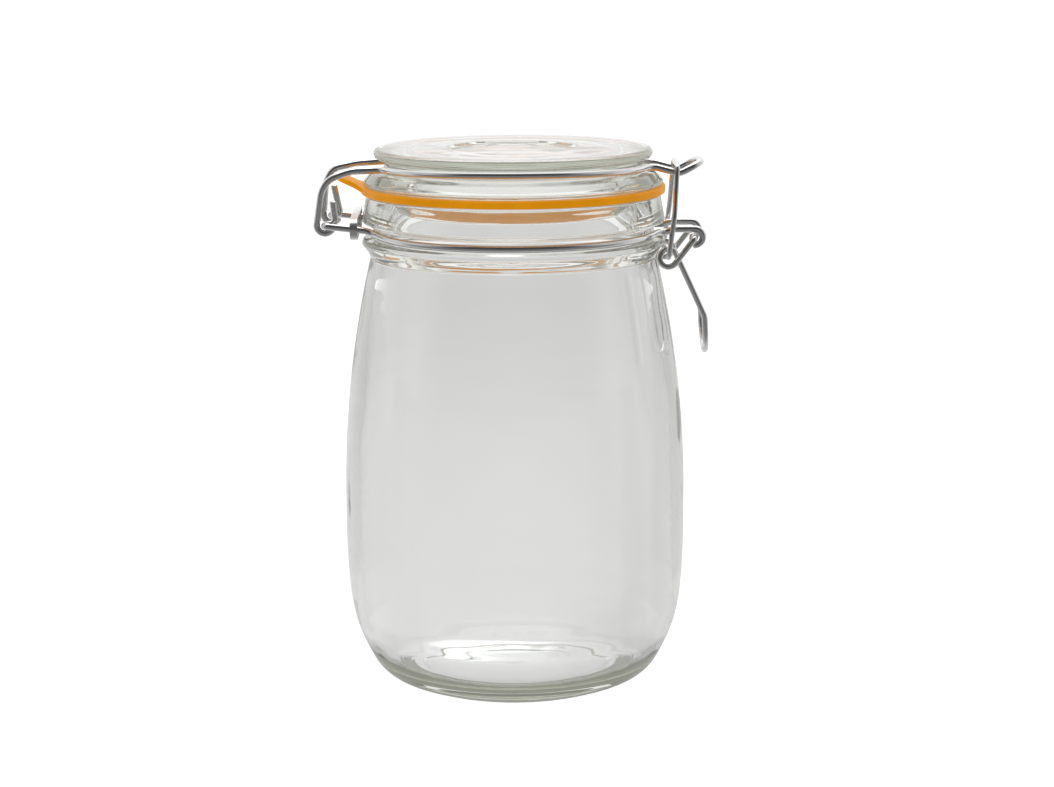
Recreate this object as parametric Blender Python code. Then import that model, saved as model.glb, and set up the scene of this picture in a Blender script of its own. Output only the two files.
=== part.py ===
"""Glass storage jar with a hinged glass lid and a wire clip, closed and empty.

The jar's axis is +Z and it stands on z = 0. The lid's hinge is on the -X side and the clip on the
+X side. The wires are the same on both sides of the plane y = 0, and "near" is the -Y side.
Sizes are in millimetres and become metres where an object is made.
"""
import math

import bmesh
import bpy
from mathutils import Matrix, Vector

MM = 0.001

# Turned glass: the body
GLASS_SEGMENTS = 40
PROFILE_STEP = math.radians(50.0)
BODY_R = 55.5          # widest outer radius
BELLY_Z = 62.0         # height of the widest place
FOOT_INNER_R = 30.8
SHOULDER_BEND = 0.0015 # how fast the body narrows above the widest place, per mm
SHOULDER_Z = 141.0     # where the body meets the neck
WALL = 4.3
FLOOR_Z = 7.0          # lowest inside face
FLOOR_CROWN = 0.5      # the floor rises towards its centre
PUNT_Z = 1.3           # height of the hollow under the base
# Outlines from the bottom to the widest place, as radius and height
HEEL = [
    (33.0, 0.0), (35.7, 0.8), (38.9, 2.0), (43.4, 4.0), (46.5, 7.0), (48.8, 11.0),
    (51.1, 16.0), (53.1, 22.0), (54.5, 30.0), (55.2, 40.0), (55.5, 51.0), (55.5, 62.0),
]
INNER_HEEL = [
    (39.0, 7.0), (43.0, 7.9), (46.5, 10.5), (49.0, 14.8), (50.6, 20.0),
    (51.4, 27.0), (51.5, 36.0), (51.4, 48.0), (51.2, 62.0),
]

# Turned glass: the neck, with a bead, a groove for the wire and a collar
BORE_R = 41.0
BEAD_R = 48.9
BEAD_Z = (145.1, 146.7)
NECK_GROOVE_R = 45.3
COLLAR_R = 48.9
COLLAR_Z = 152.1
RIM_R = 47.2
RIM_Z = 160.9

# Turned glass: the lid
LID_TOP_Z = 175.5
LID_DISC_R = 44.75
LID_DISC_Z = 172.4     # underside of the top disc
LID_RECESS_R = 20.4
LID_RECESS = 0.8
LID_GROOVE_R = 41.5
LID_GROOVE_Z = 168.5   # lower side of the groove for the wire
LID_BULGE_R = 48.2
LID_SEAT_Z = 163.8     # face that presses on the gasket
LID_PLUG_R = 41.8
LID_PLUG_BEND = (40.45, 158.9, 24.0)   # radius, height and bend
LID_PLUG_TIP_R = (35.8, 38.6)
LID_PLUG_Z = 154.7     # the plug's lower edge
LID_HOLLOW_R = 34.2
LID_HOLLOW_Z = 170.4

# Gasket
GASKET_R = (42.3, 48.9)
GASKET_Z = (161.2, 163.5)
TAB_HALF_WIDTH = 6.0
TAB_LENGTH = 7.9
TAB_THICKNESS = 1.6
TAB_RISE = math.radians(24.5)
TAB_START = Vector((-48.9, 0.0, 163.95))
TAB_ROOT = 1.6         # how far the tab reaches back into the ring
TAB_FLARE = 3.2        # it widens where it leaves the ring
TAB_CORNER_R = 3.0

# Wires
WIRE_SIDES_RESOLUTION = 2
RING_STEP = math.radians(9.0)
BEND_STEP = math.radians(30.0)
FRAME_WIRE = 2.2
LEVER_WIRE = 2.0
LINK_WIRE = 1.7
TAIL_FILLET = 4.0      # bend where a ring turns into its straight tails

# Lid wire
LID_RING_R = 43.1
LID_RING_Z = 170.8
LID_RING_DROP = 1.2    # it sinks towards the hinge and the clip
HINGE_LEG_Y = 13.8
TONGUE_Y = 7.6
TONGUE_X = 60.0
TONGUE_Z = 170.9
HOOK_R = 2.6
HOOK_END = math.radians(-25.0)
# Bends as x, z and radius
LEG_BENDS = {
    "near": [(-60.7, 163.0, 9.0), (-58.3, 166.8, 6.5), (-51.0, 169.3, 12.0)],
    "far": [(-61.4, 163.2, 8.0), (-59.0, 167.3, 5.0), (-51.0, 169.0, 12.0)],
}
TONGUE_BEND = (53.2, 167.45, 4.0)
TONGUE_CORNER_R = 5.0

# Hinge axis, lever axis, link axis, link bar and the lever's eye, all along Y
HINGE_AXIS = Vector((-59.7, 0.0, 152.2))
LEVER_AXIS = Vector((57.9, 0.0, 147.3))
LINK_AXIS = Vector((49.35, 0.0, 141.35))
LINK_BAR = Vector((52.2, 0.0, 170.1))
EYE_CENTRE = Vector((49.4, 0.0, 140.8))

# Neck wires
NECK_RING_R = 46.9
NECK_RING_Z = 148.8
NECK_RISE_HINGE = 2.0  # it climbs close to the hinge
NECK_RISE_CLIP = 0.2
NECK_HINGE_Y = 16.5
NECK_CLIP_Y = 9.5
NECK_HINGE_BEND = (-48.6, 150.95, 3.0)
NECK_CLIP_BEND_X = 51.0
NECK_CLIP_BEND_R = 6.0
HAIRPIN_Y = 11.1
HAIRPIN_R = 1.6
POST_X = -56.5
POST_TOP = {"near": (-57.35, 159.6), "far": (-58.6, 162.3)}
CURL_R = 2.6
CURL_END = math.radians(-100.0)

# Hinge band
BAND_X = -50.75
BAND_Z = 151.25
BAND_WIDTH = 2.3
BAND_WALL = 0.8
BAND_HEIGHT = 6.7
BAND_HALF_WIDTH = 19.7
BAND_SKEW = -0.021     # its far end sits nearer the hinge

# Lever and link
PIN_END_Y = 8.0
ARM_Y = 11.9
EYE_R = 2.75
HANDLE_Y = 9.5
HANDLE_BOW = Vector((56.0, -HANDLE_Y, 133.2))
HANDLE_BOW_R = 30.0
HANDLE_KNEE = (61.3, -HANDLE_Y, 121.6, 5.0)
HANDLE_STEP = math.radians(18.0)
HANDLE_BOTTOM_X = 62.0
HANDLE_BOTTOM_Z = 109.3
PIN_CORNER_R = 1.6
LINK_TOP_Y = 10.2
LINK_TOP_CORNER_R = 2.0
LINK_LEG_BEND = (51.2, -14.2, 155.0, 12.0)
LINK_FOOT_Y = 14.9
LINK_PIN_END_Y = 10.8

MATERIALS = {
    "clear_glass": {"color": (0.84, 0.87, 0.85, 1.0), "roughness": 0.04, "metallic": 0.0},
    "orange_rubber": {"color": (0.72, 0.38, 0.03, 1.0), "roughness": 0.5, "metallic": 0.0},
    "steel_wire": {"color": (0.62, 0.62, 0.61, 1.0), "roughness": 0.18, "metallic": 1.0},
    "band_metal": {"color": (0.7, 0.7, 0.69, 1.0), "roughness": 0.35, "metallic": 1.0},
}


def clear_scene():
    for obj in list(bpy.data.objects):
        bpy.data.objects.remove(obj, do_unlink=True)


def material(name):
    """One material for each object, from the table above."""
    values = MATERIALS[name]
    made = bpy.data.materials.new(name)
    made.use_nodes = True
    shader = made.node_tree.nodes["Principled BSDF"]
    shader.inputs["Base Color"].default_value = values["color"]
    shader.inputs["Roughness"].default_value = values["roughness"]
    shader.inputs["Metallic"].default_value = values["metallic"]
    if name == "clear_glass":
        shader.inputs["Transmission Weight"].default_value = 1.0
        shader.inputs["IOR"].default_value = 1.5
    return made


def add_object(name, data, origin, material_name):
    """Put data, drawn in millimetres in the object's frame, in the scene with its origin there."""
    data.transform(Matrix.Scale(MM, 4) @ Matrix.Translation(-origin))
    obj = bpy.data.objects.new(name, data)
    obj.location = origin * MM
    data.materials.append(material(material_name))
    bpy.context.scene.collection.objects.link(obj)
    return obj


def arc(centre, radius, start, end, step, y=0.0):
    """Points of an arc in the XZ plane, both ends included."""
    count = max(1, math.ceil(abs(end - start) / step - 1e-6))
    points = []
    for i in range(count + 1):
        angle = start + (end - start) * i / count
        points.append(Vector((centre.x + radius * math.cos(angle), y, centre.z + radius * math.sin(angle))))
    return points


def rounded(corners, step=BEND_STEP):
    """A path through corners (x, y, z, radius), each corner replaced by an arc of its radius."""
    places = [Vector(corner[:3]) for corner in corners]
    points = [places[0]]
    for i in range(1, len(corners) - 1):
        radius = corners[i][3]
        back = (places[i - 1] - places[i]).normalized()
        ahead = (places[i + 1] - places[i]).normalized()
        turn = math.pi - back.angle(ahead)
        if radius == 0.0 or turn < 1e-4:
            points.append(places[i])
            continue
        reach = radius * math.tan(turn / 2)
        centre = places[i] + (back + ahead).normalized() * (radius / math.cos(turn / 2))
        first = places[i] + back * reach - centre
        axis = (-back).cross(ahead).normalized()
        count = max(1, math.ceil(turn / step - 1e-6))
        for k in range(count + 1):
            points.append(centre + Matrix.Rotation(turn * k / count, 3, axis) @ first)
    points.append(places[-1])
    return points


def profile(corners):
    """A rounded outline from corners (radius, height, fillet)."""
    return rounded([(r, 0.0, z, fillet) for r, z, fillet in corners], step=PROFILE_STEP)


def body_radius(z):
    """Outer radius of the body above its widest place."""
    return BODY_R - SHOULDER_BEND * (z - BELLY_Z) ** 2


def turned(name, outline, material_name, origin=Vector((0.0, 0.0, 0.0))):
    """A closed solid of revolution from an outline that runs from the axis back to the axis."""
    bm = bmesh.new()
    verts = [bm.verts.new(point) for point in outline]
    edges = [bm.edges.new(pair) for pair in zip(verts, verts[1:])]
    bmesh.ops.spin(
        bm, geom=verts + edges, cent=(0, 0, 0), axis=(0, 0, 1), dvec=(0, 0, 0),
        angle=math.tau, steps=GLASS_SEGMENTS, use_merge=True,
    )
    bmesh.ops.remove_doubles(bm, verts=bm.verts, dist=1e-4)
    return finish_mesh(name, bm, material_name, origin)


def finish_mesh(name, bm, material_name, origin):
    bmesh.ops.recalc_face_normals(bm, faces=bm.faces)
    mesh = bpy.data.meshes.new(name)
    bm.to_mesh(mesh)
    bm.free()
    mesh.shade_smooth()
    mesh.set_sharp_from_angle(angle=math.radians(35.0))
    return add_object(name, mesh, origin, material_name)


def wire(name, points, diameter, origin):
    """A round wire along the points, with its ends closed.

    Its bevel stays in millimetres, because each point's own radius is scaled to metres.
    """
    curve = bpy.data.curves.new(name, "CURVE")
    curve.dimensions = "3D"
    curve.bevel_depth = diameter / 2
    curve.bevel_resolution = WIRE_SIDES_RESOLUTION
    curve.use_fill_caps = True
    spline = curve.splines.new("POLY")
    spline.points.add(len(points) - 1)
    for target, point in zip(spline.points, points):
        target.co = (*point, 1.0)
    return add_object(name, curve, origin, "steel_wire")


def mirrored(points):
    """The same points on the other side of the plane y = 0, in reverse order."""
    return [Vector((point.x, -point.y, point.z)) for point in reversed(points)]


def tail_fillet(ring_r, tail_y):
    """Centre distance along X of the bend between a ring and a tail that is parallel to X."""
    return math.sqrt((ring_r + TAIL_FILLET) ** 2 - (tail_y + TAIL_FILLET) ** 2)


def near_ring(ring_r, hinge_y, clip_y, height):
    """The near half of a ring, from its tail at the hinge to its tail at the clip.

    height gives z from x. Both tails are parallel to X, and the bends curve away from the ring.
    """
    hinge_centre = Vector((-tail_fillet(ring_r, hinge_y), -hinge_y - TAIL_FILLET))
    clip_centre = Vector((tail_fillet(ring_r, clip_y), -clip_y - TAIL_FILLET))
    hinge_angle = math.atan2(hinge_centre.y, hinge_centre.x)
    clip_angle = math.atan2(clip_centre.y, clip_centre.x)
    plan = []
    plan += plan_arc(hinge_centre, TAIL_FILLET, math.pi / 2, hinge_angle + math.pi, BEND_STEP)
    plan += plan_arc(Vector((0.0, 0.0)), ring_r, hinge_angle, clip_angle, RING_STEP)[1:-1]
    plan += plan_arc(clip_centre, TAIL_FILLET, clip_angle + math.pi, math.pi / 2, BEND_STEP)
    return [Vector((x, y, height(x))) for x, y in plan]


def plan_arc(centre, radius, start, end, step):
    count = max(1, math.ceil(abs(end - start) / step - 1e-6))
    points = []
    for i in range(count + 1):
        angle = start + (end - start) * i / count
        points.append((centre.x + radius * math.cos(angle), centre.y + radius * math.sin(angle)))
    return points


def make_jar():
    outer_heel = [Vector((r, 0.0, z)) for r, z in HEEL]
    upper_heights = [BELLY_Z + (SHOULDER_Z - BELLY_Z) * i / 6 for i in range(1, 7)]
    outer_body = [Vector((body_radius(z), 0.0, z)) for z in upper_heights]
    underside = [
        Vector((0.0, 0.0, PUNT_Z)),
        Vector((FOOT_INNER_R * 0.5, 0.0, PUNT_Z * 0.83)),
        Vector((FOOT_INNER_R - 1.5, 0.0, PUNT_Z * 0.5)),
        Vector((FOOT_INNER_R, 0.0, 0.0)),
    ]
    neck = profile([
        (body_radius(SHOULDER_Z), SHOULDER_Z, 0.0),
        (body_radius(SHOULDER_Z) + 0.3, SHOULDER_Z + 0.4, 0.0),
        (BEAD_R - 1.7, SHOULDER_Z + 1.9, 0.0),
        (BEAD_R, BEAD_Z[0], 0.8),
        (BEAD_R - 0.3, BEAD_Z[1], 0.9),
        (NECK_GROOVE_R, BEAD_Z[1] + 0.4, 0.7),
        (NECK_GROOVE_R, COLLAR_Z - 1.0, 1.0),
        (COLLAR_R, COLLAR_Z, 0.8),
        (RIM_R, RIM_Z, 1.1),
        (BORE_R, RIM_Z, 0.9),
        (BORE_R, SHOULDER_Z + 4.0, 0.0),
    ])
    inner_body = [Vector((body_radius(z) - WALL, 0.0, z)) for z in reversed(upper_heights[:-1])]
    inner_heel = [Vector((r, 0.0, z)) for r, z in reversed(INNER_HEEL)]
    floor = [
        Vector((INNER_HEEL[0][0] * 0.5, 0.0, FLOOR_Z + FLOOR_CROWN * 0.8)),
        Vector((0.0, 0.0, FLOOR_Z + FLOOR_CROWN)),
    ]
    outline = underside + outer_heel + outer_body + neck[1:] + inner_body + inner_heel + floor
    turned("jar_glass", outline, "clear_glass")


def make_lid():
    outline = profile([
        (0.0, LID_TOP_Z - LID_RECESS, 0.0),
        (LID_RECESS_R - 0.7, LID_TOP_Z - LID_RECESS, 0.6),
        (LID_RECESS_R + 0.7, LID_TOP_Z, 0.6),
        (LID_DISC_R, LID_TOP_Z, 1.5),
        (LID_DISC_R, LID_DISC_Z, 1.5),
        (LID_GROOVE_R, LID_DISC_Z - 0.2, 0.6),
        (LID_GROOVE_R, LID_GROOVE_Z, 0.7),
        (LID_BULGE_R - 2.7, LID_GROOVE_Z - 0.8, 2.0),
        (LID_BULGE_R, LID_SEAT_Z + 1.3, 1.2),
        (LID_BULGE_R - 0.3, LID_SEAT_Z, 0.3),
        (LID_PLUG_R, LID_SEAT_Z, 0.3),
        (LID_PLUG_R - 0.1, LID_SEAT_Z - 1.3, 0.5),
        (LID_PLUG_BEND[0], LID_PLUG_BEND[1], 0.0),
        (LID_PLUG_TIP_R[1], LID_PLUG_Z, 0.7),
        (LID_PLUG_TIP_R[0], LID_PLUG_Z, 0.7),
        (LID_HOLLOW_R, LID_HOLLOW_Z, 2.5),
        (0.0, LID_HOLLOW_Z, 0.0),
    ])
    turned("lid_glass", outline, "clear_glass", origin=HINGE_AXIS)


def make_gasket():
    """A flat ring with a pull tab that slopes up beside the hinge."""
    bm = bmesh.new()
    section = [(r, z) for r in GASKET_R for z in GASKET_Z]
    section[2:] = section[:1:-1]
    verts = [bm.verts.new((r, 0.0, z)) for r, z in section]
    edges = [bm.edges.new((verts[i - 1], verts[i])) for i in range(len(verts))]
    bmesh.ops.spin(
        bm, geom=verts + edges, cent=(0, 0, 0), axis=(0, 0, 1), dvec=(0, 0, 0),
        angle=math.tau, steps=GLASS_SEGMENTS, use_merge=True,
    )
    ring = finish_mesh("gasket", bm, "orange_rubber", HINGE_AXIS)
    union = ring.modifiers.new("tab", "BOOLEAN")
    union.operation = "UNION"
    union.solver = "EXACT"
    union.object = make_tab()


def make_tab():
    """The slab of the tab, drawn flat with its top at z = 0 and then tilted into place."""
    wide = TAB_HALF_WIDTH + TAB_FLARE
    outline = rounded([
        (TAB_ROOT, -wide, 0.0, 0.0),
        (TAB_ROOT - TAB_FLARE, -TAB_HALF_WIDTH, 0.0, TAB_FLARE),
        (-TAB_LENGTH, -TAB_HALF_WIDTH, 0.0, TAB_CORNER_R),
        (-TAB_LENGTH, TAB_HALF_WIDTH, 0.0, TAB_CORNER_R),
        (TAB_ROOT - TAB_FLARE, TAB_HALF_WIDTH, 0.0, TAB_FLARE),
        (TAB_ROOT, wide, 0.0, 0.0),
    ])
    bm = bmesh.new()
    top = bm.faces.new([bm.verts.new(point) for point in outline])
    slab = bmesh.ops.extrude_face_region(bm, geom=[top])
    moved = [item for item in slab["geom"] if isinstance(item, bmesh.types.BMVert)]
    bmesh.ops.translate(bm, verts=moved, vec=(0.0, 0.0, -TAB_THICKNESS))
    tilt = Matrix.Translation(TAB_START) @ Matrix.Rotation(TAB_RISE, 4, "Y")
    bmesh.ops.transform(bm, matrix=tilt, verts=bm.verts)
    tab = finish_mesh("gasket_tab_shape", bm, "orange_rubber", HINGE_AXIS)
    tab.hide_render = True
    tab.display_type = "WIRE"
    return tab


def make_lid_wire():
    """One wire round the lid: a hook at each side of the hinge and a tongue at the clip."""
    hook = arc(HINGE_AXIS, HOOK_R, HOOK_END, -math.pi, BEND_STEP, y=-HINGE_LEG_Y)
    ring = near_ring(
        LID_RING_R, HINGE_LEG_Y, TONGUE_Y,
        lambda x: LID_RING_Z - LID_RING_DROP * (x / LID_RING_R) ** 2,
    )
    legs = {}
    for side, bends in LEG_BENDS.items():
        corners = [(x, -HINGE_LEG_Y, z, radius) for x, z, radius in bends]
        legs[side] = rounded([(*hook[-1], 0.0), *corners, (*ring[0], 0.0)])[1:-1]
    bend_x, bend_z, bend_r = TONGUE_BEND
    tongue = rounded([
        (*ring[-1], 0.0),
        (bend_x, -TONGUE_Y, bend_z, bend_r),
        (TONGUE_X, -TONGUE_Y, TONGUE_Z, TONGUE_CORNER_R),
        (TONGUE_X, 0.0, TONGUE_Z, 0.0),
    ])[1:-1]
    near = hook + legs["near"] + ring + tongue
    far = mirrored(hook + legs["far"] + ring + tongue)
    wire("lid_wire", near + far, FRAME_WIRE, HINGE_AXIS)


def neck_height(x):
    rise = NECK_RISE_HINGE if x < 0 else NECK_RISE_CLIP
    return NECK_RING_Z + rise * (x / NECK_RING_R) ** 10


def make_neck_wire(side):
    """Half of the wire round the neck.

    At the hinge it makes a hairpin whose short cross piece is the lid's pivot, and ends in a post.
    At the clip its end is curled round the lever's pin.
    """
    post_x, post_z = POST_TOP[side]
    bend_x, bend_z, bend_r = NECK_HINGE_BEND
    ring = near_ring(NECK_RING_R, NECK_HINGE_Y, NECK_CLIP_Y, neck_height)
    hairpin = rounded([
        (post_x, -HAIRPIN_Y, post_z, 0.0),
        (POST_X, -HAIRPIN_Y, HINGE_AXIS.z, HAIRPIN_R),
        (HINGE_AXIS.x, -HAIRPIN_Y, HINGE_AXIS.z, HAIRPIN_R),
        (HINGE_AXIS.x, -NECK_HINGE_Y, HINGE_AXIS.z, HAIRPIN_R),
        (bend_x, -NECK_HINGE_Y, bend_z, bend_r),
        (*ring[0], 0.0),
    ])
    curl = arc(LEVER_AXIS, CURL_R, math.pi / 2, CURL_END, BEND_STEP, y=-NECK_CLIP_Y)
    tail = rounded([
        (*ring[-1], 0.0),
        (NECK_CLIP_BEND_X, -NECK_CLIP_Y, curl[0].z, NECK_CLIP_BEND_R),
        (*curl[0], 0.0),
    ])
    points = hairpin[:-1] + ring + tail[1:-1] + curl
    if side == "far":
        points = mirrored(points)
    wire("neck_wire_" + side, points, FRAME_WIRE, Vector((0.0, 0.0, NECK_RING_Z)))


def make_hinge_band():
    """A flat strip bent round both tails of the neck wires beside the hinge."""
    bm = bmesh.new()
    loops = []
    for inset in (0.0, BAND_WALL):
        half_y = BAND_HALF_WIDTH - inset
        half_z = BAND_HEIGHT / 2 - inset
        corner_r = half_z - 0.01
        outline = rounded([
            (0.0, 0.0, half_z, 0.0),
            (0.0, half_y, half_z, corner_r),
            (0.0, half_y, -half_z, corner_r),
            (0.0, -half_y, -half_z, corner_r),
            (0.0, -half_y, half_z, corner_r),
            (0.0, 0.0, half_z, 0.0),
        ])[:-1]
        for offset in (-BAND_WIDTH / 2, BAND_WIDTH / 2):
            ring = [Vector((BAND_X + offset + BAND_SKEW * y, y, BAND_Z + z)) for _, y, z in outline]
            loops.append([bm.verts.new(point) for point in ring])
    outer_left, outer_right, inner_left, inner_right = loops
    rim = len(outer_left)
    for a, b in ((outer_left, outer_right), (outer_right, inner_right),
                 (inner_right, inner_left), (inner_left, outer_left)):
        for i in range(rim):
            bm.faces.new((a[i - 1], a[i], b[i], b[i - 1]))
    finish_mesh("hinge_band", bm, "band_metal", Vector((BAND_X, 0.0, BAND_Z)))


def tangent_angle(centre, radius, point, side):
    """Angle on the circle where a line from the point touches it. side is +1 or -1."""
    away = point - centre
    return math.atan2(away.z, away.x) + side * math.acos(radius / math.hypot(away.x, away.z))


def make_lever_wire():
    """The handle: a pin in each neck wire curl, an arm, an eye for the link and a long U."""
    eye_in = tangent_angle(EYE_CENTRE, EYE_R, LEVER_AXIS, -1)
    eye_out = tangent_angle(EYE_CENTRE, EYE_R, HANDLE_BOW, 1) - math.tau
    eye = arc(EYE_CENTRE, EYE_R, eye_in, eye_out, BEND_STEP)
    for i, point in enumerate(eye):
        point.y = -ARM_Y + (ARM_Y - HANDLE_Y) * i / (len(eye) - 1)
    arm = rounded([
        (LEVER_AXIS.x, -PIN_END_Y, LEVER_AXIS.z, 0.0),
        (LEVER_AXIS.x, -ARM_Y, LEVER_AXIS.z, PIN_CORNER_R),
        (*eye[0], 0.0),
    ])
    handle = rounded([
        (*eye[-1], 0.0),
        (*HANDLE_BOW, HANDLE_BOW_R),
        HANDLE_KNEE,
        (HANDLE_BOTTOM_X, -HANDLE_Y, HANDLE_BOTTOM_Z, HANDLE_Y - 0.02),
        (HANDLE_BOTTOM_X, 0.0, HANDLE_BOTTOM_Z, 0.0),
    ], step=HANDLE_STEP)
    near = arm[:-1] + eye + handle[1:-1]
    wire("lever_wire", near + mirrored(near), LEVER_WIRE, LEVER_AXIS)


def make_link_wire():
    """The loop that holds the lid down: a bar on the tongue, two legs and a pin in each eye."""
    near = rounded([
        (LINK_AXIS.x, -LINK_PIN_END_Y, LINK_AXIS.z, 0.0),
        (LINK_AXIS.x, -LINK_FOOT_Y, LINK_AXIS.z, PIN_CORNER_R),
        LINK_LEG_BEND,
        (LINK_BAR.x, -LINK_TOP_Y, LINK_BAR.z, LINK_TOP_CORNER_R),
        (LINK_BAR.x, 0.0, LINK_BAR.z, 0.0),
    ])[:-1]
    wire("link_wire", near + mirrored(near), LINK_WIRE, LINK_AXIS)


def main():
    clear_scene()
    make_jar()
    make_neck_wire("near")
    make_neck_wire("far")
    make_hinge_band()
    make_lid()
    make_gasket()
    make_lid_wire()
    make_lever_wire()
    make_link_wire()


main()
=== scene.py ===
"""Looks of the glass storage jar: pressed glass, plated wires, rubber gasket, studio and camera.

Sizes are in millimetres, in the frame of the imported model, and become metres where a mesh is made.
"""
import math

import bmesh
import bpy
from mathutils import Matrix, Vector, noise


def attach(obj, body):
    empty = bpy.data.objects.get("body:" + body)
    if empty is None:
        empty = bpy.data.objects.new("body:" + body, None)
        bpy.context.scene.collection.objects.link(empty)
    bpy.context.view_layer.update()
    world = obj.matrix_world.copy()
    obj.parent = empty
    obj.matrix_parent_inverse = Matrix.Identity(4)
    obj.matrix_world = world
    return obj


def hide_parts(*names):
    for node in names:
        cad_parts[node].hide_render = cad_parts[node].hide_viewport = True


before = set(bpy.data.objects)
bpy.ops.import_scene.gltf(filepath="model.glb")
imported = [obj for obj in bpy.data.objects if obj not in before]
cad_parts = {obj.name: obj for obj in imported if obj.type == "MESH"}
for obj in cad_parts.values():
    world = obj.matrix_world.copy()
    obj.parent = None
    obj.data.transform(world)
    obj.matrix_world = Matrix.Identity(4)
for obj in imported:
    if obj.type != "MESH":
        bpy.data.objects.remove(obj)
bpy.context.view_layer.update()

MM = 0.001
TINY = 1e-6            # slack when steps are counted and heights are compared
NO_TURN = 1e-4         # angle below which a corner stays straight
SAME_PLACE = 1e-4      # points this near become one
NEAR_POINTS = 0.02     # a wire's path keeps no two points nearer than this

# Turned glass
GLASS_SEGMENTS = 240
PROFILE_STEP = math.radians(10.0)
LONGEST_STRIP = 1.2
# Edges of the gasket and the band
EDGE_STEPS = 3
SHARP_ANGLE = math.radians(50.0)
# Waves of pressed glass: height, length across and length upwards
WAVES = [(0.05, 12.0, 20.0), (0.018, 24.0, 2.6), (0.06, 6.5, 60.0)]
FLAT_CALM = 0.75       # share of the waves that a level face loses
BODY_R = 55.5
BELLY_Z = 62.0
FOOT_INNER_R = 30.8
HEEL = [
    (33.0, 0.0), (35.7, 0.8), (38.9, 2.0), (43.4, 4.0), (46.5, 7.0), (48.8, 11.0),
    (51.1, 16.0), (53.1, 22.0), (54.5, 30.0), (55.2, 40.0), (55.5, 51.0), (55.5, 62.0),
]
INNER_HEEL = [
    (39.0, 7.0), (43.0, 7.9), (46.5, 10.5), (49.0, 14.8), (50.6, 20.0),
    (51.4, 27.0), (51.5, 36.0), (51.4, 48.0), (51.2, 62.0),
]
# Short ribs under the heel: from radius to radius, below this height
KNURL_R = (35.0, 37.6)
KNURL_TOP = 2.2
KNURL_DEPTH = 0.35
# Mould seam on the shoulder
SEAM_ANGLE = math.radians(-40.5)
SEAM_Z = (111.0, 139.0)
SEAM_HEIGHT = 0.2
SHOULDER_BEND = 0.0015
SHOULDER_Z = 141.0
INNER_TOP_Z = SHOULDER_Z - 6.0
WALL = 4.3
# Steps along each curved stretch of the outline
BODY_STEPS = 40
HEEL_STEPS = 6
INNER_HEEL_STEPS = 8
FLOOR_STEPS = 8
FLOOR_Z = 7.0
FLOOR_CROWN = 0.5
PUNT_Z = 1.3
BORE_R = 41.0
BEAD_R = 48.9
BEAD_Z = (145.1, 146.7)
NECK_GROOVE_R = 45.3
COLLAR_R = 48.9
COLLAR_Z = 152.1
RIM_R = 47.2
RIM_Z = 160.9
LID_TOP_Z = 175.5
LID_DISC_R = 44.75
LID_DISC_Z = 172.4
LID_RECESS_R = 20.4
LID_RECESS = 0.8
LID_GROOVE_R = 41.5
LID_GROOVE_Z = 168.5
LID_BULGE_R = 48.2
LID_SEAT_Z = 163.8
LID_PLUG_R = 41.8
LID_PLUG_BEND = (40.45, 158.9, 24.0)
LID_PLUG_TIP_R = (35.8, 38.6)
LID_PLUG_Z = 154.7
LID_HOLLOW_R = 34.2
LID_HOLLOW_Z = 170.4

# Gasket
GASKET_R = (42.3, 48.9)
GASKET_Z = (161.2, 163.5)
GASKET_EDGE_R = 0.35
TAB_HALF_WIDTH = 6.0
TAB_LENGTH = 7.9
TAB_THICKNESS = 1.6
TAB_RISE = math.radians(24.5)
TAB_START = Vector((-48.9, 0.0, 163.95))
TAB_ROOT = 1.6
TAB_FLARE = 3.2
TAB_CORNER_R = 3.0

# Wires
WIRE_SIDES = 20
WIRE_SHARP_ANGLE = math.radians(40.0)
WIRE_END_ROUND = 0.25       # share of the wire's radius
LONGEST_WIRE_PIECE = 1.5
RING_STEP = math.radians(2.0)
BEND_STEP = math.radians(9.0)
FRAME_WIRE = 2.2
LEVER_WIRE = 2.0
LINK_WIRE = 1.7
TAIL_FILLET = 4.0
LID_RING_R = 43.1
LID_RING_Z = 170.8
LID_RING_DROP = 1.2
HINGE_LEG_Y = 13.8
TONGUE_Y = 7.6
TONGUE_X = 60.0
TONGUE_Z = 170.9
HOOK_R = 2.6
HOOK_END = math.radians(-25.0)
LEG_BENDS = {
    "near": [(-60.7, 163.0, 9.0), (-58.3, 166.8, 6.5), (-51.0, 169.3, 12.0)],
    "far": [(-61.4, 163.2, 8.0), (-59.0, 167.3, 5.0), (-51.0, 169.0, 12.0)],
}
TONGUE_BEND = (53.2, 167.45, 4.0)
TONGUE_CORNER_R = 5.0
HINGE_AXIS = Vector((-59.7, 0.0, 152.2))
LEVER_AXIS = Vector((57.9, 0.0, 147.3))
LINK_AXIS = Vector((49.35, 0.0, 141.35))
LINK_BAR = Vector((52.2, 0.0, 170.1))
EYE_CENTRE = Vector((49.4, 0.0, 140.8))
NECK_RING_R = 46.9
NECK_RING_Z = 148.8
NECK_RISE_HINGE = 2.0
NECK_RISE_CLIP = 0.2
NECK_RISE_POWER = 10
NECK_HINGE_Y = 16.5
NECK_CLIP_Y = 9.5
NECK_HINGE_BEND = (-48.6, 150.95, 3.0)
NECK_CLIP_BEND_X = 51.0
NECK_CLIP_BEND_R = 6.0
HAIRPIN_Y = 11.1
HAIRPIN_R = 1.6
POST_X = -56.5
POST_TOP = {"near": (-57.35, 159.6), "far": (-58.6, 162.3)}
CURL_R = 2.6
CURL_END = math.radians(-100.0)
BAND_X = -50.75
BAND_Z = 151.25
BAND_WIDTH = 2.3
BAND_WALL = 0.8
BAND_HEIGHT = 6.7
BAND_HALF_WIDTH = 19.7
BAND_SKEW = -0.021
BAND_END_FLAT = 0.01        # what the round ends leave straight
BAND_EDGE_R = 0.34
BAND_EDGE_ANGLE = math.radians(60.0)
PIN_END_Y = 8.0
ARM_Y = 11.9
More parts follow.
